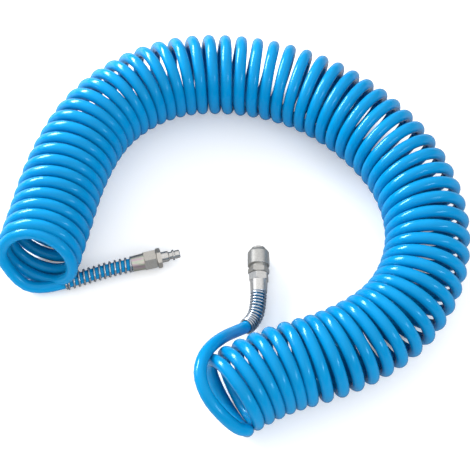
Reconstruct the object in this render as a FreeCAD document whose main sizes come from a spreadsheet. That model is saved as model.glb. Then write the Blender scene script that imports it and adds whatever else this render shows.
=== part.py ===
import FreeCAD, Part

import math
import os

# Coiled polyurethane air hose with a quick-release plug and a quick-release coupler.
#
# Millimetres. The hose lies on the floor in a wide C that is open towards -Y. +Z is up, +Y runs
# along the coupler towards its mouth, and the origin is on the floor under the middle of the
# outline. Each fitting is drawn upright, along its own +Z, from the rear of its nut to its free
# end, and is then laid down. Names that begin with "at_" are stations on that axis.

SIZES = {
    # hose
    "hose_dia": 12,
    "hose_bore": 8,
    "coil_dia": 85,
    # spring guards on the hose's straight ends
    "guard_dia": 16.6,
    "guard_bore": 12.4,
    "plug_guard_len": 69,
    "coupler_guard_len": 43,
    # the plug's place: the rear of its nut, and its heading from +X in degrees
    "plug_x": -103.2,
    "plug_y": -31.2,
    "plug_z": 10.6,
    "plug_heading": 14,
    # the coupler's place
    "coupler_x": 26,
    "coupler_y": -63.5,
    "coupler_z": 11.4,
    "coupler_heading": 90,
    # union nuts and the threads and barbs that they hold
    "at_bend": -18,
    "at_nut_rear": 0,
    "at_barb": 1.5,
    "at_nut_step": 10,
    "at_hose_seat": 11.5,
    "nut_bore": 12.3,
    "nut_thread": 14.4,
    "thread_dia": 14.2,
    "barb_low_dia": 7.4,
    "barb_high_dia": 8.3,
    "flow_bore": 5,
    "hex_rim": 0.4,
    # plug nut
    "at_plug_hex": 13,
    "at_plug_hex_end": 25.5,
    "plug_flats": 18,
    "plug_nut_turn": 25,
    "plug_body_turn": -5,
    "plug_skirt_rear_dia": 15.8,
    "plug_skirt_front_dia": 17,
    # plug body
    "at_collar": 26,
    "at_shank": 30.8,
    "at_shank_cone": 37.8,
    "at_groove": 39,
    "at_ridge": 42.2,
    "at_ridge_top": 42.7,
    "at_ridge_cone": 43.9,
    "at_neck": 44.4,
    "at_tip": 45.2,
    "at_tip_cone": 49.5,
    "at_plug_end": 50.2,
    "shank_dia": 11,
    "groove_dia": 7.8,
    "ridge_edge_dia": 10,
    "neck_dia": 7.6,
    "tip_dia": 8.6,
    "tip_end_dia": 7.2,
    # coupler nut
    "at_coupler_hex": 12.4,
    "at_coupler_hex_end": 20.2,
    "coupler_flats": 18,
    "coupler_nut_turn": -12,
    "coupler_skirt_rear_dia": 16.8,
    "coupler_skirt_front_dia": 17.8,
    # tailpiece
    "at_tail_hex": 20.7,
    "at_cup_floor": 21.5,
    "at_tail_hex_end": 26.5,
    "at_spigot_end": 31,
    "tail_flats": 19,
    "tail_turn": 30,
    "spigot_dia": 13.6,
    "cup_dia": 10,
    # coupler body
    "at_body": 27,
    "at_flange": 30.1,
    "at_barrel": 30.7,
    "at_spigot_bore_end": 31.2,
    "at_seat": 32,
    "at_seal_bore": 33,
    "at_oring_groove": 34.2,
    "at_oring_groove_end": 35.8,
    "at_socket": 36.6,
    "at_balls": 40.5,
    "at_mouth": 42.6,
    "at_ring_groove": 46.6,
    "at_ring_groove_end": 47.35,
    "at_nose_cone": 49.4,
    "at_nose": 50,
    "body_neck_dia": 17,
    "flange_dia": 18.6,
    "barrel_dia": 15,
    "ring_groove_dia": 13.8,
    "nose_dia": 14.6,
    "nose_face_dia": 13.4,
    "spigot_bore": 13.8,
    "valve_chamber": 10.8,
    "valve_seat": 7,
    "seal_bore": 8.9,
    "oring_groove_dia": 11.3,
    "socket_dia": 11.2,
    "mouth_dia": 12,
    "ball_hole_dia": 3.6,
    # seals
    "body_seal_dia": 16.4,
    "body_seal_bore": 13.8,
    "oring_middle_dia": 9.8,
    "oring_wire": 1.4,
    # lock sleeve
    "at_sleeve": 29.7,
    "at_sleeve_rim": 30,
    "at_land": 37.5,
    "at_ramp": 40.02,
    "at_release": 43.5,
    "at_lip_ramp": 44.9,
    "at_lip": 45.35,
    "at_sleeve_taper": 43.9,
    "at_sleeve_end": 46.5,
    "sleeve_dia": 22.4,
    "sleeve_rim_dia": 21.8,
    "sleeve_front_dia": 19.2,
    "sleeve_bore": 19,
    "land_bore": 15.4,
    "release_bore": 18.88,
    # sleeve spring, retaining ring and balls
    "sleeve_spring_dia": 17.9,
    "sleeve_spring_bore": 16.3,
    "retaining_ring_dia": 16.2,
    "retaining_ring_bore": 14,
    "retaining_ring_gap": 4,
    "at_retaining_ring": 46.65,
    "at_retaining_ring_end": 47.3,
    "ball_dia": 3.5,
    "ball_circle": 11.8,
    # valve
    "at_valve_rear": 27.8,
    "at_valve_head": 29.3,
    "at_valve_seal": 31.3,
    "at_valve_seal_end": 31.95,
    "at_valve_window": 33.4,
    "at_valve_end": 35.5,
    "valve_head_dia": 9.4,
    "valve_boss_dia": 5.8,
    "valve_stem_dia": 6.4,
    "valve_stem_bore": 4.4,
    "valve_window_dia": 1.8,
    "valve_seal_dia": 9.8,
    "valve_seal_bore": 6.5,
    "valve_spring_dia": 7.9,
    "valve_spring_bore": 6.5,
}
BARBS = 3
BALLS = 6
BEND_SHARE = 0.45

# The middle line of the coil, seen from above, from the plug's end to the coupler's end.
COIL_ROUTE = [
    (-197, -50), (-187, -11), (-172, 64), (-139, 134), (-73, 179), (5, 183), (81, 162),
    (143, 115), (187, 52), (199, -26), (169, -99), (104, -142), (29, -162), (-7, -187),
]
# The hose's two free ends, from where they leave their fittings' axes to the coil.
PLUG_END_ROUTE = [
    (-147, -44, 9.8), (-170, -52, 9), (-193, -57, 7.6), (-213, -55, 10), (-225, -47, 22),
]
COUPLER_END_ROUTE = [
    (17, -100, 12), (2, -113, 27), (-8, -126, 46), (-19, -141, 62), (-28, -159, 75),
    (-31, -180, 82), (-23, -200, 76), (-7, -214, 62), (6, -219, 45),
]

doc = FreeCAD.newDocument("coiled_air_hose")
sheet = doc.addObject("Spreadsheet::Sheet", "sizes")
for row, (alias, value) in enumerate(SIZES.items(), start=1):
    sheet.set(f"A{row}", alias)
    sheet.set(f"B{row}", str(value))
    sheet.setAlias(f"B{row}", alias)
doc.recompute()

UP = FreeCAD.Vector(0, 0, 1)
parts = []


def size(alias):
    return float(getattr(sheet, alias))


def named(item, label):
    """Makes an object a sub-part under its own name."""
    item.Label = label
    parts.append(item)
    return item


def turned(name, steps):
    """Cylinders and cones end to end. A step is (from, to, first dia, last dia)."""
    pieces = []
    for start, end, first, last in steps:
        kind = "Part::Cylinder" if first == last else "Part::Cone"
        piece = doc.addObject(kind, name + "_step")
        piece.setExpression("Height", f"sizes.{end} - sizes.{start}")
        piece.setExpression("Placement.Base.z", f"sizes.{start}")
        if first == last:
            piece.setExpression("Radius", f"sizes.{first} / 2")
        else:
            piece.setExpression("Radius1", f"sizes.{first} / 2")
            piece.setExpression("Radius2", f"sizes.{last} / 2")
        pieces.append(piece)
    return pieces


def union(name, pieces):
    if len(pieces) == 1:
        return pieces[0]
    joined = doc.addObject("Part::MultiFuse", name)
    joined.Shapes = pieces
    joined.Refine = True
    return joined


def cut(name, body, holes):
    result = doc.addObject("Part::Cut", name)
    result.Base = union(name + "_outside", body)
    result.Tool = union(name + "_inside", holes)
    return result


def hexagon(name, start, end, flats, turn):
    """A hexagon bar between two stations, its corners taken off at both ends at 30 degrees.

    turn is the angle of its first corner from +X, before it is laid down."""
    length = f"(sizes.{end} - sizes.{start})"
    prism = doc.addObject("Part::Prism", name + "_prism")
    prism.Polygon = 6
    prism.Placement.Rotation = FreeCAD.Rotation(UP, size(turn))
    prism.setExpression("Circumradius", f"sizes.{flats} / 2 / cos(30)")
    prism.setExpression("Height", length)
    prism.setExpression("Placement.Base.z", f"sizes.{start}")
    shape = prism
    for narrow, wide in (("Radius1", "Radius2"), ("Radius2", "Radius1")):
        cone = doc.addObject("Part::Cone", name + "_cone")
        cone.setExpression("Height", length)
        cone.setExpression(narrow, f"(sizes.{flats} + sizes.hex_rim) / 2")
        cone.setExpression(wide, f"(sizes.{flats} + sizes.hex_rim) / 2 + {length} / tan(30)")
        cone.setExpression("Placement.Base.z", f"sizes.{start}")
        common = doc.addObject("Part::Common", name + "_hexagon")
        common.Base = shape
        common.Tool = cone
        shape = common
    return shape


def barbs(name):
    """A cone for each barb, rising towards the fitting, and a plain neck up to the hose seat."""
    share = "(sizes.at_nut_step - sizes.at_barb)"
    pieces = turned(name, [("at_barb", "at_hose_seat", "barb_low_dia", "barb_low_dia")])
    for index in range(BARBS):
        cone = doc.addObject("Part::Cone", name + "_cone")
        cone.setExpression("Radius1", "sizes.barb_low_dia / 2")
        cone.setExpression("Radius2", "sizes.barb_high_dia / 2")
        cone.setExpression("Height", f"{share} / {BARBS}")
        cone.setExpression("Placement.Base.z", f"sizes.at_barb + {share} * {index} / {BARBS}")
        pieces.append(cone)
    return pieces


def laid(item, end):
    """Lays a fitting's piece down at the plug's or the coupler's place."""
    place = FreeCAD.Vector(size(end + "_x"), size(end + "_y"), size(end + "_z"))
    heading = FreeCAD.Rotation(UP, size(end + "_heading"))
    down = FreeCAD.Rotation(FreeCAD.Vector(0, 1, 0), 90)
    item.Placement = FreeCAD.Placement(place, heading.multiply(down)).multiply(item.Placement)
    return item


def rounded(name, points):
    """Straight runs joined by tangent arcs, each as large as its two runs allow."""
    corners = [FreeCAD.Vector(*point) for point in points]
    edges = []
    radii = []
    start = corners[0]
    for before, corner, after in zip(corners, corners[1:], corners[2:]):
        run_in = corner - before
        run_out = after - corner
        half_turn = run_in.getAngle(run_out) / 2
        reach = BEND_SHARE * min(run_in.Length, run_out.Length)
        radius = reach / math.tan(half_turn)
        run_in.normalize()
        run_out.normalize()
        first = corner - run_in * reach
        last = corner + run_out * reach
        inward = run_out - run_in
        inward.normalize()
        middle = corner + inward * (radius / math.cos(half_turn) - radius)
        edges.append(Part.LineSegment(start, first).toShape())
        edges.append(Part.Arc(first, middle, last).toShape())
        radii.append(round(radius))
        start = last
    edges.append(Part.LineSegment(start, corners[-1]).toShape())
    print(name, "bend radii", radii)
    return edges


def stretch(edges, length):
    """The first part of a path."""
    kept = []
    for edge in edges:
        left = length - sum(piece.Length for piece in kept)
        if left >= edge.Length:
            kept.append(edge)
        elif left > 0:
            kept.append(edge.Curve.toShape(edge.FirstParameter, edge.getParameterByLength(left)))
    return kept


def swept(name, edges, dia, bore=None):
    """A round bar or pipe along a path. Its volume must be its section times its length."""
    start = edges[0].Vertexes[0].Point
    facing = edges[0].tangentAt(edges[0].FirstParameter)
    outlines = [Part.Wire(Part.Circle(start, facing, dia / 2).toShape())]
    area = math.pi * dia ** 2 / 4
    if bore:
        outlines.append(Part.Wire(Part.Circle(start, facing, bore / 2).toShape()))
        area -= math.pi * bore ** 2 / 4
    path = Part.Wire(edges)
    shape = path.makePipe(Part.Face(outlines, "Part::FaceMakerBullseye"))
    print(name, "length", round(path.Length), "volume ratio", shape.Volume / area / path.Length)
    return shape


def on_axis(end, station):
    """The point of a laid fitting's axis at a station."""
    heading = math.radians(size(end + "_heading"))
    along = FreeCAD.Vector(math.cos(heading), math.sin(heading), 0)
    rear = FreeCAD.Vector(size(end + "_x"), size(end + "_y"), size(end + "_z"))
    return rear + along * size(station)


# ------------------------------------------------------------------------------ the hose
def hose_coil():
    """The outside of all the turns together, as one bent bar that lies on the floor."""
    middle = size("coil_dia") / 2
    edges = rounded("hose_coil", [(x, y, middle) for x, y in COIL_ROUTE])
    item = doc.addObject("Part::Feature", "hose_coil")
    item.Shape = swept("hose_coil", edges, size("coil_dia"))
    named(item, "hose_coil")


def hose_end(end, route):
    """A free end of the hose: it starts in its nut, over the barbs, and runs to the coil."""
    label = end + "_end_hose"
    seat = on_axis(end, "at_hose_seat")
    edges = rounded(label, [seat, on_axis(end, "at_bend")] + route)
    back = on_axis(end, "at_nut_rear") - seat
    bore = Part.makeCylinder(size("hose_bore") / 2, size("at_hose_seat"), seat, back)
    item = doc.addObject("Part::Feature", label)
    item.Shape = swept(label, edges, size("hose_dia")).cut(bore)
    named(item, label)


def spring_guard(end, route):
    """The outside of the wire spring that sits on the hose behind a nut."""
    label = end + "_spring_guard"
    edges = rounded(label, [on_axis(end, "at_nut_rear"), on_axis(end, "at_bend")] + route)
    item = doc.addObject("Part::Feature", label)
    kept = stretch(edges, size(end + "_guard_len"))
    item.Shape = swept(label, kept, size("guard_dia"), size("guard_bore"))
    named(item, label)


# ------------------------------------------------------------------------------ the plug
def plug_nut():
    body = turned("plug_nut", [
        ("at_nut_rear", "at_plug_hex", "plug_skirt_rear_dia", "plug_skirt_front_dia"),
    ])
    body.append(hexagon("plug_nut", "at_plug_hex", "at_plug_hex_end", "plug_flats", "plug_nut_turn"))
    bore = turned("plug_nut", [
        ("at_nut_rear", "at_nut_step", "nut_bore", "nut_bore"),
        ("at_nut_step", "at_plug_hex_end", "nut_thread", "nut_thread"),
    ])
    laid(named(cut("plug_nut", body, bore), "plug_nut"), "plug")


def plug_body():
    body = barbs("plug_body") + turned("plug_body", [
        ("at_hose_seat", "at_collar", "thread_dia", "thread_dia"),
        ("at_shank", "at_shank_cone", "shank_dia", "shank_dia"),
        ("at_shank_cone", "at_groove", "shank_dia", "groove_dia"),
        ("at_groove", "at_ridge", "groove_dia", "groove_dia"),
        ("at_ridge", "at_ridge_top", "ridge_edge_dia", "shank_dia"),
        ("at_ridge_top", "at_ridge_cone", "shank_dia", "shank_dia"),
        ("at_ridge_cone", "at_neck", "shank_dia", "ridge_edge_dia"),
        ("at_neck", "at_tip", "neck_dia", "neck_dia"),
        ("at_tip", "at_tip_cone", "tip_dia", "tip_dia"),
        ("at_tip_cone", "at_plug_end", "tip_dia", "tip_end_dia"),
    ])
    body.append(hexagon("plug_body", "at_collar", "at_shank", "plug_flats", "plug_body_turn"))
    bore = turned("plug_body", [("at_nut_rear", "at_plug_end", "flow_bore", "flow_bore")])
    laid(named(cut("plug_body", body, bore), "plug_body"), "plug")


# ------------------------------------------------------------------------------ the coupler
def coupler_nut():
    body = turned("coupler_nut", [
        ("at_nut_rear", "at_coupler_hex", "coupler_skirt_rear_dia", "coupler_skirt_front_dia"),
    ])
    body.append(hexagon("coupler_nut", "at_coupler_hex", "at_coupler_hex_end", "coupler_flats",
                        "coupler_nut_turn"))
    bore = turned("coupler_nut", [
        ("at_nut_rear", "at_nut_step", "nut_bore", "nut_bore"),
        ("at_nut_step", "at_coupler_hex_end", "nut_thread", "nut_thread"),
    ])
    laid(named(cut("coupler_nut", body, bore), "coupler_nut"), "coupler")


def coupler_tailpiece():
    body = barbs("tailpiece") + turned("tailpiece", [
        ("at_hose_seat", "at_tail_hex", "thread_dia", "thread_dia"),
        ("at_tail_hex_end", "at_spigot_end", "spigot_dia", "spigot_dia"),
    ])
    body.append(hexagon("tailpiece", "at_tail_hex", "at_tail_hex_end", "tail_flats", "tail_turn"))
    bore = turned("tailpiece", [
        ("at_nut_rear", "at_cup_floor", "flow_bore", "flow_bore"),
        ("at_cup_floor", "at_spigot_end", "cup_dia", "cup_dia"),
    ])
    laid(named(cut("coupler_tailpiece", body, bore), "coupler_tailpiece"), "coupler")


def coupler_body():
    body = turned("coupler_body", [
        ("at_body", "at_flange", "body_neck_dia", "body_neck_dia"),
        ("at_flange", "at_barrel", "flange_dia", "flange_dia"),
        ("at_barrel", "at_ring_groove", "barrel_dia", "barrel_dia"),
        ("at_ring_groove", "at_ring_groove_end", "ring_groove_dia", "ring_groove_dia"),
        ("at_ring_groove_end", "at_nose_cone", "nose_dia", "nose_dia"),
        ("at_nose_cone", "at_nose", "nose_dia", "nose_face_dia"),
    ])
    inside = turned("coupler_body", [
        ("at_body", "at_spigot_bore_end", "spigot_bore", "spigot_bore"),
        ("at_spigot_bore_end", "at_seat", "valve_chamber", "valve_chamber"),
        ("at_seat", "at_seal_bore", "valve_seat", "valve_seat"),
        ("at_seal_bore", "at_socket", "seal_bore", "seal_bore"),
        ("at_oring_groove", "at_oring_groove_end", "oring_groove_dia", "oring_groove_dia"),
        ("at_socket", "at_mouth", "socket_dia", "socket_dia"),
        ("at_mouth", "at_nose", "mouth_dia", "mouth_dia"),
    ])
    for index in range(BALLS):
        hole = doc.addObject("Part::Cylinder", "ball_hole")
        hole.setExpression("Radius", "sizes.ball_hole_dia / 2")
        hole.setExpression("Height", "sizes.barrel_dia")
        hole.setExpression("Placement.Base.z", "sizes.at_balls")
        outward = FreeCAD.Rotation(FreeCAD.Vector(0, 1, 0), 90)
        hole.Placement.Rotation = FreeCAD.Rotation(UP, 360 / BALLS * index).multiply(outward)
        inside.append(hole)
    laid(named(cut("coupler_body", body, inside), "coupler_body"), "coupler")


def lock_sleeve():
    body = turned("lock_sleeve", [
        ("at_sleeve", "at_sleeve_rim", "sleeve_rim_dia", "sleeve_dia"),
        ("at_sleeve_rim", "at_sleeve_taper", "sleeve_dia", "sleeve_dia"),
        ("at_sleeve_taper", "at_sleeve_end", "sleeve_dia", "sleeve_front_dia"),
    ])
    inside = turned("lock_sleeve", [
        ("at_sleeve", "at_land", "sleeve_bore", "sleeve_bore"),
        ("at_land", "at_ramp", "land_bore", "land_bore"),
        ("at_ramp", "at_release", "land_bore", "release_bore"),
        ("at_release", "at_lip_ramp", "release_bore", "release_bore"),
        ("at_lip_ramp", "at_lip", "release_bore", "land_bore"),
        ("at_lip", "at_sleeve_end", "land_bore", "land_bore"),
    ])
    laid(named(cut("lock_sleeve", body, inside), "lock_sleeve"), "coupler")


def flat_ring(label, start, end, dia, bore, gap=None):
    """A ring between two stations, open on one side if it has a gap. A spring is one too."""
    holes = turned(label, [(start, end, bore, bore)])
    if gap:
        slit = doc.addObject("Part::Box", label + "_slit")
        slit.setExpression("Length", f"sizes.{dia}")
        slit.setExpression("Width", f"sizes.{gap}")
        slit.setExpression("Height", f"sizes.{end} - sizes.{start}")
        slit.setExpression("Placement.Base.y", f"-sizes.{gap} / 2")
        slit.setExpression("Placement.Base.z", f"sizes.{start}")
        holes.append(slit)
    ring = cut(label, turned(label, [(start, end, dia, dia)]), holes)
    laid(named(ring, label), "coupler")


def plug_seal():
    """The O-ring that closes round the plug's tip."""
    ring = doc.addObject("Part::Torus", "plug_seal")
    ring.setExpression("Radius1", "sizes.oring_middle_dia / 2")
    ring.setExpression("Radius2", "sizes.oring_wire / 2")
    ring.Placement.Base = UP * ((size("at_oring_groove") + size("at_oring_groove_end")) / 2)
    laid(named(ring, "plug_seal"), "coupler")


def lock_balls():
    """Each ball sits in its own hole, as far in as it goes."""
    for index in range(BALLS):
        ball = doc.addObject("Part::Sphere", "lock_ball")
        ball.setExpression("Radius", "sizes.ball_dia / 2")
        angle = math.radians(360 / BALLS * index)
        reach = size("ball_circle") / 2
        ball.Placement.Base = FreeCAD.Vector(
            reach * math.cos(angle), reach * math.sin(angle), size("at_balls"))
        laid(named(ball, f"lock_ball_{index + 1}"), "coupler")


def valve_poppet():
    """The valve's head, with a hollow stem that lets the air out through windows behind its tip."""
    body = turned("valve_poppet", [
        ("at_valve_rear", "at_valve_head", "valve_boss_dia", "valve_boss_dia"),
        ("at_valve_head", "at_valve_seal", "valve_head_dia", "valve_head_dia"),
        ("at_valve_seal", "at_valve_end", "valve_stem_dia", "valve_stem_dia"),
    ])
    inside = turned("valve_poppet", [
        ("at_valve_seal_end", "at_valve_end", "valve_stem_bore", "valve_stem_bore"),
    ])
    for turn in (0, 90):
        window = doc.addObject("Part::Cylinder", "valve_window")
        window.setExpression("Radius", "sizes.valve_window_dia / 2")
        window.setExpression("Height", "sizes.valve_head_dia")
        side = FreeCAD.Rotation(UP, turn).multiply(FreeCAD.Rotation(FreeCAD.Vector(0, 1, 0), 90))
        back = side.multVec(UP) * (-size("valve_head_dia") / 2)
        window.Placement = FreeCAD.Placement(back + UP * size("at_valve_window"), side)
        inside.append(window)
    laid(named(cut("valve_poppet", body, inside), "valve_poppet"), "coupler")


# ------------------------------------------------------------------------------ all together
hose_coil()
for end, route in (("plug", PLUG_END_ROUTE), ("coupler", COUPLER_END_ROUTE)):
    hose_end(end, route)
    spring_guard(end, route)
plug_nut()
plug_body()
coupler_nut()
coupler_tailpiece()
flat_ring("body_seal", "at_tail_hex_end", "at_body", "body_seal_dia", "body_seal_bore")
coupler_body()
flat_ring("retaining_ring", "at_retaining_ring", "at_retaining_ring_end",
          "retaining_ring_dia", "retaining_ring_bore", "retaining_ring_gap")
lock_sleeve()
flat_ring("sleeve_spring", "at_barrel", "at_land", "sleeve_spring_dia", "sleeve_spring_bore")
lock_balls()
plug_seal()
valve_poppet()
flat_ring("valve_seal", "at_valve_seal", "at_valve_seal_end", "valve_seal_dia", "valve_seal_bore")
flat_ring("valve_spring", "at_cup_floor", "at_valve_head", "valve_spring_dia", "valve_spring_bore")

doc.recompute()
for item in doc.Objects:
    if {"Invalid", "Error"} & set(item.State):
        raise RuntimeError(f"{item.Name} ({item.Label}) failed: {item.State}")
os.makedirs("parts", exist_ok=True)
for item in parts:
    if item.Shape.isNull() or not item.Shape.isValid():
        raise RuntimeError(f"{item.Label} has no valid shape")
    item.Shape.exportStep(f"parts/{item.Label}.step")
    print(item.Label, "solids", len(item.Shape.Solids), "volume", round(item.Shape.Volume, 1))
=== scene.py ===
"""The looks of the coiled air hose: the wound hose, its anti-kink springs and its two fittings.

Lengths are in metres. MM turns the fittings' millimetres into metres. A fitting is drawn along
its own +Z, from the rear of its nut, and then laid down where the frame has it.
"""
import math

import bpy
from mathutils import Matrix, Vector


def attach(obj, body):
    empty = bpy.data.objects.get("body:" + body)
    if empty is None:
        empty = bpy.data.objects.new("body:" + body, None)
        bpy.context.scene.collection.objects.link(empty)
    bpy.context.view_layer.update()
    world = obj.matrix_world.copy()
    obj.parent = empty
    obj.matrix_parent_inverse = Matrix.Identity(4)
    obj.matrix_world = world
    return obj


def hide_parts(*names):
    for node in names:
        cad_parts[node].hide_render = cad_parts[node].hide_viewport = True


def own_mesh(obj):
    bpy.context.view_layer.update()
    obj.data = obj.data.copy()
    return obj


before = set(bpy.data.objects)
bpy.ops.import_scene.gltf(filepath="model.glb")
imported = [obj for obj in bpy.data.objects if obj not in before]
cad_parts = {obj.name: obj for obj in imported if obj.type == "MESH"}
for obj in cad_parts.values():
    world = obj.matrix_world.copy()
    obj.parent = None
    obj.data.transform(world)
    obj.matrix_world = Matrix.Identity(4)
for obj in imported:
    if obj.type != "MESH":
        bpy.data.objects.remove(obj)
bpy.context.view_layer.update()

MM = 0.001
UP = Vector((0, 0, 1))
ROOT = "hose_and_fittings"
scene = bpy.context.scene

# ------------------------------------------------------------------ driving dimensions
HOSE_DIAMETER = 0.012
COIL_RADIUS = 0.0365
TURNS = 63.25
FIRST_TURN = 0.25
POINTS_PER_TURN = 16
CLOSER_ENDS = 0.10
FIRST_LEAN = math.radians(34)
LEAN_FADE = 0.8
# The second turn leans less than its neighbours, so it lies close against the third.
LEAN_DIP = math.radians(7.4)
DIP_TURNS = 0.35

# The middle line of the coil, seen from above, from the plug's end to the coupler's end.
COIL_ROUTE = [
    (-0.197, -0.050), (-0.187, -0.011), (-0.172, 0.064), (-0.139, 0.134), (-0.073, 0.179),
    (0.005, 0.183), (0.081, 0.162), (0.143, 0.115), (0.187, 0.052), (0.199, -0.026),
    (0.169, -0.099), (0.104, -0.142), (0.029, -0.162), (-0.007, -0.187),
]
# The hose's two free ends, from where they leave their fittings' axes to the coil.
PLUG_END_ROUTE = [
    (-0.147, -0.044, 0.0098), (-0.170, -0.052, 0.009), (-0.193, -0.057, 0.0076),
    (-0.213, -0.055, 0.010),
]
COUPLER_END_ROUTE = [
    (0.017, -0.100, 0.012), (0.002, -0.113, 0.027), (-0.008, -0.126, 0.046),
    (-0.019, -0.141, 0.062), (-0.028, -0.159, 0.075), (-0.031, -0.180, 0.082),
    (-0.023, -0.200, 0.076), (-0.007, -0.214, 0.062), (0.006, -0.219, 0.045),
]
# Stations of a fitting: where the hose ends inside its nut, and where it starts to bend behind it.
HOSE_SEAT = 11.5 * MM
HOSE_BEND = -18 * MM

# Where each fitting lies: the rear of its nut, and its heading from +X.
PLUG = Vector((-0.1032, -0.0312, 0.0106)), math.radians(14)
COUPLER = Vector((0.026, -0.0635, 0.0114)), math.radians(90)


def laid(end):
    """The matrix that lays a fitting down."""
    place, heading = end
    turn = Matrix.Rotation(heading, 4, "Z") @ Matrix.Rotation(math.radians(90), 4, "Y")
    return Matrix.Translation(place) @ turn


def add(name, data):
    piece = bpy.data.objects.new(name, data)
    scene.collection.objects.link(piece)
    return piece


# ------------------------------------------------------------------ camera
def make_camera():
    """Looks down steeply at the coil, from the front."""
    distance = 1.25
    elevation = math.radians(62)
    target = Vector((0.002, 0.008, 0))
    data = bpy.data.cameras.new("camera")
    data.lens = 91.9
    data.sensor_width = 36
    camera = add("camera", data)
    away = Vector((0, -math.cos(elevation), math.sin(elevation)))
    camera.location = target + distance * away
    camera.rotation_euler = (math.radians(90) - elevation, 0, 0)
    scene.camera = camera


# ------------------------------------------------------------------ lines
class Line:
    """The smooth line through a route, with a place and a heading at every distance along it."""

    def __init__(self, route, resolution=24):
        curve = smooth_curve("line", route, resolution)
        guide = add("line", curve)
        mesh = bpy.data.meshes.new_from_object(guide)
        self.points = [vertex.co.copy() for vertex in mesh.vertices]
        bpy.data.objects.remove(guide)
        bpy.data.curves.remove(curve)
        bpy.data.meshes.remove(mesh)
        self.distances = [0.0]
        for before, after in zip(self.points, self.points[1:]):
            self.distances.append(self.distances[-1] + (after - before).length)
        self.length = self.distances[-1]

    def at(self, distance):
        """The point and the heading at a distance from the line's start."""
        last = len(self.points) - 2
        index = min(max(self.span(distance), 0), last)
        start, end = self.points[index], self.points[index + 1]
        share = (distance - self.distances[index]) / (end - start).length
        before = self.points[max(index - 1, 0)]
        after = self.points[min(index + 2, last + 1)]
        heading = (end - before).normalized().lerp((after - start).normalized(), share)
        return start.lerp(end, share), heading.normalized()

    def span(self, distance):
        low, high = 0, len(self.distances) - 1
        while high - low > 1:
            middle = (low + high) // 2
            if self.distances[middle] <= distance:
                low = middle
            else:
                high = middle
        return low


def smooth_curve(name, route, resolution):
    """A NURBS curve with the route's points as its control points."""
    curve = bpy.data.curves.new(name, "CURVE")
    curve.dimensions = "3D"
    curve.resolution_u = resolution
    spline = curve.splines.new("NURBS")
    spline.points.add(len(route) - 1)
    for point, place in zip(spline.points, route):
        point.co = (*place, 1)
    spline.order_u = 3
    spline.use_endpoint_u = True
    return curve


# ------------------------------------------------------------------ hose
def coil_points():
    """The turns, from the plug's end. Whole turns are at the bottom, and the first ones lean."""
    axis = Line([(x, y, 0) for x, y in COIL_ROUTE])
    reach = COIL_RADIUS / math.cos(math.pi / POINTS_PER_TURN)
    points = []
    for step in range(round((TURNS - FIRST_TURN) * POINTS_PER_TURN) + 1):
        turn = FIRST_TURN + step / POINTS_PER_TURN
        share = turn / TURNS
        swing = CLOSER_ENDS * math.sin(2 * math.pi * share) / (2 * math.pi)
        middle, heading = axis.at(axis.length * (share - swing))
        dip = LEAN_DIP * math.exp(-((turn - 1) / DIP_TURNS) ** 2)
        lean = FIRST_LEAN / (1 + LEAN_FADE * turn) - dip
        right = heading.cross(UP).normalized()
        up = UP * math.cos(lean) + heading * math.sin(lean)
        middle = middle + UP * (HOSE_DIAMETER / 2 + COIL_RADIUS * math.cos(lean))
        angle = 2 * math.pi * turn
        points.append(middle - reach * (math.sin(angle) * right + math.cos(angle) * up))
    return points


def hose_route():
    """The whole hose, from its seat in the coupler to its seat in the plug."""
    ends = []
    for end, route in ((COUPLER, COUPLER_END_ROUTE), (PLUG, PLUG_END_ROUTE)):
        straight = [laid(end) @ Vector((0, 0, station)) for station in (HOSE_SEAT, HOSE_BEND)]
        ends.append(straight + [Vector(point) for point in route])
    coupler_end, plug_end = ends
    return coupler_end + coil_points()[::-1] + plug_end[::-1]


def make_hose(route):
    curve = smooth_curve("hose", route, 3)
    curve.bevel_depth = HOSE_DIAMETER / 2
    curve.bevel_resolution = 12
    curve.use_fill_caps = True
    return add("hose", curve)


# ------------------------------------------------------------------ meshes
def tube(name, line, radius, sides=12):
    """A round wire along a list of points, closed at both ends."""
    verts, faces = [], []
    side = (line[1] - line[0]).orthogonal().normalized()
    for index, point in enumerate(line):
        before = line[max(index - 1, 0)]
        after = line[min(index + 1, len(line) - 1)]
        along = (after - before).normalized()
        side = (side - along * side.dot(along)).normalized()
        over = along.cross(side)
        for step in range(sides):
            angle = 2 * math.pi * step / sides
            verts.append(point + radius * (math.cos(angle) * side + math.sin(angle) * over))
    for ring in range(len(line) - 1):
        for step in range(sides):
            here = ring * sides + step
            beside = ring * sides + (step + 1) % sides
            faces.append((here, beside, beside + sides, here + sides))
    faces.append(tuple(reversed(range(sides))))
    last = (len(line) - 1) * sides
    faces.append(tuple(range(last, last + sides)))
    mesh = bpy.data.meshes.new(name)
    mesh.from_pydata(verts, [], faces)
    mesh.shade_smooth()
    return add(name, mesh)


def helix(middle, radius, turns, steps=40, closed=0.0, start=0.0):
    """Points wound round a line: middle(share) gives the line's place and heading.

    closed is the share of a turn at each end that is wound flat."""
    points = []
    count = round(turns * steps)
    for step in range(count + 1):
        turn = step / steps
        climb = min(max((turn - closed) / (turns - 2 * closed), 0), 1)
        place, along = middle(climb)
        side = along.cross(UP).normalized()
        over = side.cross(along)
        angle = 2 * math.pi * turn + start
        points.append(place + radius * (math.cos(angle) * side + math.sin(angle) * over))
    return points


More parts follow.
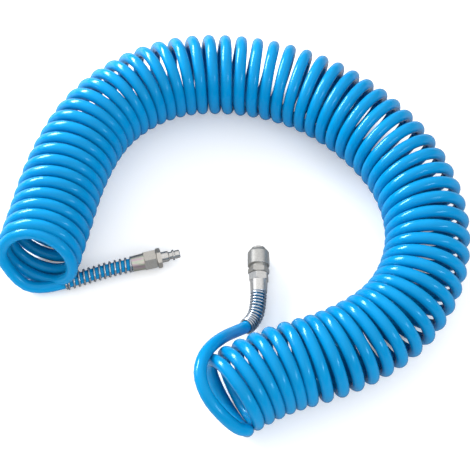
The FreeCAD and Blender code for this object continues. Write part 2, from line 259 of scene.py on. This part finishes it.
def eased(corners, ease, steps=4):
    """Rounds an outline's corners. A corner is (station, radius, hexagonal)."""
    outline = []
    count = len(corners)
    for index, (station, radius, hexagonal) in enumerate(corners):
        here = Vector((station, radius))
        before = Vector(corners[index - 1][:2])
        after = Vector(corners[(index + 1) % count][:2])
        reach = min(ease, 0.4 * (before - here).length, 0.4 * (after - here).length)
        start = here + (before - here).normalized() * reach
        end = here + (after - here).normalized() * reach
        outline.append((*here.lerp(start, 1.2), hexagonal))
        for step in range(steps + 1):
            share = step / steps
            point = start.lerp(here, share).lerp(here.lerp(end, share), share)
            outline.append((*point, hexagonal))
        outline.append((*here.lerp(end, 1.2), hexagonal))
    return outline


def softer(first, second, width):
    """The smaller of two radii, with the change from one to the other rounded."""
    low = min(first, second)
    blend = math.exp((low - first) / width) + math.exp((low - second) / width)
    return low - width * math.log(blend)


def hexagon_radius(angle, flats, turn):
    """A hexagon's radius at an angle. Its corners are at turn, turn + 60 degrees, and so on.

    Its edges are rounded a little."""
    edge = 0.06
    sixth = math.radians(60)
    off = (angle - turn) % sixth - sixth / 2
    here = flats / 2 / math.cos(off)
    beside = flats / 2 / math.cos(sixth - abs(off))
    return softer(here, beside, edge)


def hexagon_angles(turn):
    """Angles round a hexagon, closest at its corners."""
    away = (0.7, 1.6, 2.8, 4.5, 7, 10, 14, 18, 22, 26)
    offsets = [-degrees for degrees in reversed(away)] + [0] + list(away) + [30]
    return [turn + math.radians(60 * side + offset) for side in range(6) for offset in offsets]


def turned(name, end, corners, flats=None, turn=0.0, ease=0.2, sides=96):
    """A turned piece of a fitting, hexagonal where its outline says so, in millimetres."""
    chamfer_edge = 0.05
    place = laid(end)
    if flats:
        angles = hexagon_angles(turn)
    else:
        angles = [2 * math.pi * side / sides for side in range(sides)]
    verts, faces = [], []
    outline = subdivided(eased(corners, ease))
    for station, radius, hexagonal in outline:
        for angle in angles:
            reach = radius
            if hexagonal:
                reach = softer(radius, hexagon_radius(angle, flats, turn), chamfer_edge)
            local = Vector((reach * math.cos(angle), reach * math.sin(angle), station))
            verts.append(place @ (local * MM))
    across, along = len(angles), len(outline)
    for row in range(along):
        for column in range(across):
            here = row * across + column
            beside = row * across + (column + 1) % across
            over = (row + 1) % along * across
            faces.append((here, beside, over + (column + 1) % across, over + column))
    mesh = bpy.data.meshes.new(name)
    mesh.from_pydata(verts, [], faces)
    mesh.shade_smooth()
    return add(name, mesh)


def subdivided(outline, longest=0.12):
    """Adds rows to the sloping faces of a hexagon, where its chamfer runs out in a curve."""
    rows = []
    for index, here in enumerate(outline):
        after = outline[(index + 1) % len(outline)]
        rows.append(here)
        sloping = min(abs(after[0] - here[0]), abs(after[1] - here[1])) > 0.05
        if here[2] and after[2] and sloping:
            count = math.ceil(math.dist(here[:2], after[:2]) / longest)
            for step in range(1, count):
                share = step / count
                mix = [a + (b - a) * share for a, b in zip(here[:2], after[:2])]
                rows.append((*mix, True))
    return rows


# ------------------------------------------------------------------ fittings
# Millimetres from here on. A hexagon's turn is that of its first corner.
GUARD_WIRE = 2
GUARD_OUTSIDE_RADIUS = 8.3
PLUG_FLATS = 18
PLUG_NUT_TURN = math.radians(25)
PLUG_TURN = math.radians(-5)
COUPLER_NUT_FLATS = 18
COUPLER_NUT_TURN = math.radians(-12)
TAIL_FLATS = 19
TAIL_TURN = math.radians(30)
# Stations where a piece's skirt ends and its hexagon begins, and where the plug's shank begins.
PLUG_SKIRT_END = 13
COUPLER_SKIRT_END = 12.4
SHANK_START = 30.8
# Stations of the two return springs' fixed and moving ends.
SLEEVE_SPRING = 30.7, 37.5
VALVE_SPRING = 21.5, 29.3
# How far past a hexagon's step its neighbour's finish starts.
FINISH_STEP = 0.1
NUT_BORE = [(10, 7.2, False), (10, 6.15, False), (0, 6.15, False)]


def hexagon_corners(start, end, flats):
    """A hexagon between two stations, with its corners taken off at 30 degrees."""
    chamfer = math.radians(30)
    low = flats / 2 + 0.2
    high = flats / 2 / math.cos(math.radians(30)) + 0.25
    depth = (high - low) * math.tan(chamfer)
    return [
        (start, low, True), (start + depth, high, True),
        (end - depth, high, True), (end, low, True),
    ]


def make_plug_nut():
    front = 25.5
    corners = [(0, 7.9, False), (PLUG_SKIRT_END, 8.5, False)]
    corners += hexagon_corners(PLUG_SKIRT_END, front, PLUG_FLATS)
    corners += [(front, 7.2, False)] + NUT_BORE
    return turned("plug_union_nut", PLUG, corners, flats=PLUG_FLATS, turn=PLUG_NUT_TURN)


def make_plug_body():
    collar = 26
    corners = [(1.5, 3.7, False), (11.5, 3.7, False), (11.5, 7.1, False), (collar, 7.1, False)]
    corners += hexagon_corners(collar, SHANK_START, PLUG_FLATS) + [
        (SHANK_START, 5.5, False), (37.8, 5.5, False), (39, 3.9, False), (42.2, 3.9, False),
        (42.2, 5.1, False), (42.7, 5.5, False), (43.9, 5.5, False), (44.4, 5, False),
        (44.4, 3.8, False), (45.2, 3.8, False), (45.2, 4.3, False), (49.5, 4.3, False),
        (50.2, 3.6, False), (50.2, 2.5, False), (1.5, 2.5, False),
    ]
    return turned("plug", PLUG, corners, flats=PLUG_FLATS, turn=PLUG_TURN)


def make_coupler_nut():
    front = 20.2
    corners = [(0, 8.4, False), (COUPLER_SKIRT_END, 8.9, False)]
    corners += hexagon_corners(COUPLER_SKIRT_END, front, COUPLER_NUT_FLATS)
    corners += [(front, 7.2, False)] + NUT_BORE
    return turned("coupler_union_nut", COUPLER, corners, COUPLER_NUT_FLATS, COUPLER_NUT_TURN)


def make_tailpiece():
    rear, front = 20.7, 26.5
    corners = [(1.5, 3.7, False), (11.5, 3.7, False), (11.5, 7.1, False), (rear, 7.1, False)]
    corners += hexagon_corners(rear, front, TAIL_FLATS) + [
        (front, 6.8, False), (31, 6.8, False), (31, 5, False), (21.5, 5, False),
        (21.5, 2.5, False), (1.5, 2.5, False),
    ]
    return turned("coupler_tail", COUPLER, corners, flats=TAIL_FLATS, turn=TAIL_TURN)


def second_finish(piece, end, start, material):
    """Gives a fitting's piece another material from a station to its front."""
    piece.data.materials.append(material)
    upright = laid(end).inverted()
    for face in piece.data.polygons:
        if (upright @ face.center).z > start * MM:
            face.material_index = 1


def make_sleeve():
    corners = [
        (29.7, 10.9, False), (30, 11.2, False), (43.9, 11.2, False), (46.5, 9.6, False),
        (46.5, 7.7, False), (45.35, 7.7, False), (44.9, 9.44, False), (43.5, 9.44, False),
        (40.02, 7.7, False), (37.5, 7.7, False), (37.5, 9.5, False), (29.7, 9.5, False),
    ]
    return turned("sliding_sleeve", COUPLER, corners, ease=0.3)


def place_at(end, station):
    return laid(end) @ Vector((0, 0, station * MM))


def fitting_spring(name, ends, middle, wire, turns):
    """A compression spring with closed ends, between two stations of the coupler.

    middle is the diameter of its wire's middle line."""
    start, end = ends
    first = place_at(COUPLER, start + wire / 2)
    last = place_at(COUPLER, end - wire / 2)
    heading = (last - first).normalized()

    def along(share):
        return first.lerp(last, share), heading

    points = helix(along, middle * MM / 2, turns, closed=0.75)
    return tube(name, points, wire / 2 * MM)


def guard_spring(name, hose_line, start, length, turns=14):
    """The wire spring round the hose behind a nut, from a distance along the hose's line."""
    radius = (GUARD_OUTSIDE_RADIUS - GUARD_WIRE / 2) * MM

    def middle(share):
        return hose_line.at(start + share * length)

    points = helix(middle, radius, turns, steps=36, closed=0.6)
    return tube(name, points, GUARD_WIRE / 2 * MM)


# ------------------------------------------------------------------ materials
def new_material(name):
    material = bpy.data.materials.new(name)
    material.use_nodes = True
    nodes = material.node_tree.nodes
    return material, nodes, material.node_tree.links, nodes["Principled BSDF"]


def noise(nodes, links, coordinates, scale, detail=4.0, stretch=(1, 1, 1), heading=0.0):
    """Noise over the object's own coordinates, drawn out along a heading and across it."""
    mapping = nodes.new("ShaderNodeMapping")
    mapping.vector_type = "TEXTURE"
    mapping.inputs["Rotation"].default_value = (0, 0, heading)
    mapping.inputs["Scale"].default_value = stretch
    links.new(coordinates.outputs["Object"], mapping.inputs["Vector"])
    texture = nodes.new("ShaderNodeTexNoise")
    texture.inputs["Scale"].default_value = scale
    texture.inputs["Detail"].default_value = detail
    links.new(mapping.outputs["Vector"], texture.inputs["Vector"])
    return texture


def ramp(nodes, links, factor, stops):
    """A colour ramp. A stop is (position, colour)."""
    node = nodes.new("ShaderNodeValToRGB")
    links.new(factor, node.inputs["Fac"])
    elements = node.color_ramp.elements
    while len(elements) < len(stops):
        elements.new(0.5)
    for element, (position, colour) in zip(elements, stops):
        element.position = position
        element.color = (*colour, 1)
    return node


def bump(nodes, links, shader, height, strength, distance):
    node = nodes.new("ShaderNodeBump")
    node.inputs["Strength"].default_value = strength
    node.inputs["Distance"].default_value = distance
    links.new(height, node.inputs["Height"])
    links.new(node.outputs["Normal"], shader.inputs["Normal"])


def remap(nodes, links, value, low, high):
    node = nodes.new("ShaderNodeMapRange")
    node.inputs["To Min"].default_value = low
    node.inputs["To Max"].default_value = high
    links.new(value, node.inputs["Value"])
    return node.outputs["Result"]


def hose_material():
    """Glossy azure polyurethane, a little uneven in colour, with fine scuffs.

    The metals mirror it darker than it is, so they stay grey."""
    material, nodes, links, shader = new_material("azure_polyurethane")
    coordinates = nodes.new("ShaderNodeTexCoord")
    tone = noise(nodes, links, coordinates, 22, 3)
    colour = ramp(nodes, links, tone.outputs["Fac"],
                  [(0.3, (0.0, 0.24, 0.54)), (0.7, (0.0, 0.27, 0.60))])
    rays = nodes.new("ShaderNodeLightPath")
    seen = nodes.new("ShaderNodeMix")
    seen.data_type = "RGBA"
    factor, direct, mirrored = seen.inputs[0], seen.inputs[6], seen.inputs[7]
    mirrored.default_value = (0.03, 0.09, 0.15, 1)
    links.new(rays.outputs["Is Glossy Ray"], factor)
    links.new(colour.outputs["Color"], direct)
    links.new(seen.outputs[2], shader.inputs["Base Color"])
    scuffs = noise(nodes, links, coordinates, 260, 6)
    links.new(remap(nodes, links, scuffs.outputs["Fac"], 0.15, 0.23), shader.inputs["Roughness"])
    shader.inputs["IOR"].default_value = 1.45
    shader.inputs["Specular Tint"].default_value = (0.2, 0.7, 1, 1)
    shader.inputs["Coat Weight"].default_value = 0.25
    shader.inputs["Coat Roughness"].default_value = 0.1
    shader.inputs["Subsurface Weight"].default_value = 0.1
    shader.inputs["Subsurface Radius"].default_value = (0.2, 0.5, 1.0)
    shader.inputs["Subsurface Scale"].default_value = 0.003
    waves = noise(nodes, links, coordinates, 90, 2)
    bump(nodes, links, shader, waves.outputs["Fac"], 0.025, 0.0006)
    return material


def steel_material(name, colour, roughness, grain, strength, stretch=(1, 1, 1), heading=0.0):
    """Plated or turned steel. grain is the scale of its fine marks, and stretch lays them out."""
    material, nodes, links, shader = new_material(name)
    coordinates = nodes.new("ShaderNodeTexCoord")
    shader.inputs["Metallic"].default_value = 1
    marks = noise(nodes, links, coordinates, grain, 5, stretch, heading)
    dark = tuple(0.86 * part for part in colour)
    mix = ramp(nodes, links, marks.outputs["Fac"], [(0.34, dark), (0.62, colour)])
    links.new(mix.outputs["Color"], shader.inputs["Base Color"])
    patches = noise(nodes, links, coordinates, 160, 3)
    low, high = roughness
    links.new(remap(nodes, links, patches.outputs["Fac"], low, high), shader.inputs["Roughness"])
    bump(nodes, links, shader, marks.outputs["Fac"], strength, 0.0001)
    return material


def chromate_material():
    """Zinc plate whose chromate film shows pink, green and yellow in streaks along the plug."""
    material, nodes, links, shader = new_material("iridescent_zinc")
    coordinates = nodes.new("ShaderNodeTexCoord")
    heading = PLUG[1]
    shader.inputs["Metallic"].default_value = 1
    shader.inputs["Roughness"].default_value = 0.36
    film = noise(nodes, links, coordinates, 170, 3, (4, 1, 1), heading)
    colour = ramp(nodes, links, film.outputs["Fac"], [
        (0.32, (0.70, 0.69, 0.62)), (0.41, (0.76, 0.62, 0.66)), (0.47, (0.80, 0.78, 0.68)),
        (0.53, (0.62, 0.72, 0.58)), (0.60, (0.76, 0.73, 0.66)), (0.68, (0.72, 0.58, 0.64)),
    ])
    links.new(colour.outputs["Color"], shader.inputs["Base Color"])
    grain = noise(nodes, links, coordinates, 900, 4, (2.5, 0.6, 0.6), heading)
    bump(nodes, links, shader, grain.outputs["Fac"], 0.2, 0.0001)
    return material


def brass_material():
    return steel_material("turned_brass", (0.80, 0.58, 0.26), (0.2, 0.4), 700, 0.2)


def rubber_material():
    """Matt black nitrile rubber with a fine dusty grain."""
    material, nodes, links, shader = new_material("nitrile_rubber")
    coordinates = nodes.new("ShaderNodeTexCoord")
    grain = noise(nodes, links, coordinates, 1200, 4)
    colour = ramp(nodes, links, grain.outputs["Fac"],
                  [(0.35, (0.012, 0.012, 0.013)), (0.7, (0.035, 0.035, 0.037))])
    links.new(colour.outputs["Color"], shader.inputs["Base Color"])
    shader.inputs["Roughness"].default_value = 0.6
    bump(nodes, links, shader, grain.outputs["Fac"], 0.25, 0.0001)
    return material


def floor_material():
    """A white table. Glossy surfaces mirror it as grey, and it glows a little for the camera."""
    material, nodes, links, shader = new_material("pale_floor")
    coordinates = nodes.new("ShaderNodeTexCoord")
    tone = noise(nodes, links, coordinates, 3, 2)
    rays = nodes.new("ShaderNodeLightPath")
    level = remap(nodes, links, tone.outputs["Fac"], 0.92, 0.94)
    dimmed = remap(nodes, links, rays.outputs["Is Glossy Ray"], 1, 0.3)
    colour = nodes.new("ShaderNodeMath")
    colour.operation = "MULTIPLY"
    links.new(level, colour.inputs[0])
    links.new(dimmed, colour.inputs[1])
    links.new(colour.outputs["Value"], shader.inputs["Base Color"])
    shader.inputs["Roughness"].default_value = 0.7
    shader.inputs["Emission Color"].default_value = (1, 1, 1, 1)
    links.new(remap(nodes, links, rays.outputs["Is Camera Ray"], 0, 0.22),
              shader.inputs["Emission Strength"])
    return material


# ------------------------------------------------------------------ light and floor
def make_floor():
    size = 6
    mesh = bpy.data.meshes.new("floor")
    corners = [(-size, -size, 0), (size, -size, 0), (size, size, 0), (-size, size, 0)]
    mesh.from_pydata(corners, [], [(0, 1, 2, 3)])
    floor = add("floor", mesh)
    mesh.materials.append(floor_material())
    return floor


def make_light(name, direction, distance, width, height, brightness):
    """A soft light that faces the hose from a direction."""
    data = bpy.data.lights.new(name, "AREA")
    data.shape = "RECTANGLE"
    data.size = width
    data.size_y = height
    data.energy = brightness * math.pi * width * height
    light = add(name, data)
    light.location = Vector(direction).normalized() * distance
    light.rotation_euler = Vector(direction).to_track_quat("Z", "Y").to_euler()
    return light


def only_for(light, *pieces):
    """Keeps a light off everything but these pieces."""
    collection = bpy.data.collections.new(light.name + "_pieces")
    for piece in pieces:
        collection.objects.link(piece)
    light.light_linking.receiver_collection = collection


def make_world(strength, horizon, zenith):
    """White walls all round. Glossy surfaces mirror them dim at the horizon and bright above."""
    world = bpy.data.worlds.new("studio")
    world.use_nodes = True
    nodes, links = world.node_tree.nodes, world.node_tree.links
    background = nodes["Background"]
    background.inputs["Color"].default_value = (1, 1, 1, 1)
    rays = nodes.new("ShaderNodeLightPath")
    direction = nodes.new("ShaderNodeTexCoord")
    height = nodes.new("ShaderNodeSeparateXYZ")
    links.new(direction.outputs["Generated"], height.inputs["Vector"])
    mirrored = nodes.new("ShaderNodeMapRange")
    mirrored.interpolation_type = "SMOOTHSTEP"
    mirrored.inputs["From Min"].default_value = 0.1
    mirrored.inputs["From Max"].default_value = 0.9
    mirrored.inputs["To Min"].default_value = horizon
    mirrored.inputs["To Max"].default_value = zenith
    links.new(height.outputs["Z"], mirrored.inputs["Value"])
    mix = nodes.new("ShaderNodeMix")
    factor, direct, in_metal = mix.inputs[0], mix.inputs[2], mix.inputs[3]
    direct.default_value = strength
    links.new(rays.outputs["Is Glossy Ray"], factor)
    links.new(mirrored.outputs["Result"], in_metal)
    links.new(mix.outputs[0], background.inputs["Strength"])
    scene.world = world


# ------------------------------------------------------------------ all together
def finish_piece(piece, body, slot, material, *nodes):
    """Gives a piece its material and its body, and hides the CAD nodes it stands for."""
    piece.data.materials.append(material)
    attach(piece, body)
    if nodes:
        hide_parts(*nodes)
    return piece


make_camera()
route = hose_route()
hose = make_hose(route)
hose_line = Line(route)

blue = hose_material()
plated = steel_material("satin_plate", (0.74, 0.73, 0.70), (0.42, 0.56), 1300, 0.3)
polished = steel_material("bright_plate", (0.95, 0.94, 0.92), (0.34, 0.46), 700, 0.12)
sleeve_steel = steel_material("turned_steel", (0.78, 0.78, 0.76), (0.40, 0.54), 520, 0.25)
plug_plate = steel_material("ground_zinc", (0.78, 0.75, 0.70), (0.42, 0.56), 900, 0.3,
                            (0.4, 1.6, 1.6), PLUG[1])
wire_steel = steel_material("drawn_wire", (0.72, 0.79, 0.88), (0.22, 0.34), 900, 0.1)
shank_steel = steel_material("bright_shank", (0.86, 0.85, 0.83), (0.16, 0.28), 900, 0.1)
ball_steel = steel_material("bearing_steel", (0.72, 0.72, 0.72), (0.06, 0.14), 800, 0.05)
zinc = chromate_material()
brass = brass_material()
rubber = rubber_material()

finish_piece(hose, ROOT, "hose", blue, "hose_coil", "plug_end_hose", "coupler_end_hose")
# The hose starts at its seat in the coupler's nut, so a nut's rear is HOSE_SEAT along the line.
coupler_guard_length = 43 * MM
plug_guard_length = 69 * MM
plug_guard_start = hose_line.length - HOSE_SEAT - plug_guard_length
coupler_guard = guard_spring("coupler_kink_spring", hose_line, HOSE_SEAT, coupler_guard_length)
plug_guard = guard_spring("plug_kink_spring", hose_line, plug_guard_start, plug_guard_length)
finish_piece(coupler_guard, ROOT, "spring_wire", wire_steel, "coupler_spring_guard")
finish_piece(plug_guard, ROOT, "spring_wire", wire_steel, "plug_spring_guard")
plug_nut = finish_piece(make_plug_nut(), ROOT, "zinc_iridescent", zinc, "plug_nut")
second_finish(plug_nut, PLUG, PLUG_SKIRT_END + FINISH_STEP, plug_plate)
plug = finish_piece(make_plug_body(), ROOT, "steel_plated", plug_plate, "plug_body")
second_finish(plug, PLUG, SHANK_START + FINISH_STEP, shank_steel)
finish_piece(make_coupler_nut(), ROOT, "steel_polished", polished, "coupler_nut")
finish_piece(make_tailpiece(), ROOT, "steel_plated", plated, "coupler_tailpiece")
finish_piece(make_sleeve(), "sleeve", "sleeve_steel", sleeve_steel, "lock_sleeve")

sleeve_spring = fitting_spring(
    "sleeve_return_spring", SLEEVE_SPRING, middle=17.1, wire=0.8, turns=4.5)
finish_piece(sleeve_spring, ROOT, "spring_wire", wire_steel, "sleeve_spring")
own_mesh(sleeve_spring)
valve_spring = fitting_spring(
    "valve_return_spring", VALVE_SPRING, middle=7.2, wire=0.7, turns=5.5)
finish_piece(valve_spring, ROOT, "spring_wire", wire_steel, "valve_spring")
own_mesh(valve_spring)

for node, material in (
    ("coupler_body", plated), ("retaining_ring", wire_steel), ("plug_seal", rubber),
    ("body_seal", rubber), ("valve_seal", rubber), ("valve_poppet", brass),
    *((f"lock_ball_{number}", ball_steel) for number in range(1, 7)),
):
    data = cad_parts[node].data
    data.materials.clear()
    data.materials.append(material)

floor = make_floor()
make_world(strength=1.1, horizon=0.12, zenith=0.85)
key_light = make_light(
    "left_back_light", (-0.66, 0.61, 0.40), distance=1.6, width=0.95, height=0.34, brightness=30)
only_for(key_light, hose, floor, coupler_guard, plug_guard)
make_light(
    "left_fill_light", (-0.8, 0.45, 0.45), distance=1.6, width=1.1, height=0.7, brightness=2.2)
make_light(
    "right_front_light", (0.62, -0.5, 0.6), distance=1.8, width=0.7, height=0.35, brightness=6)
scene.view_settings.view_transform = "Standard"
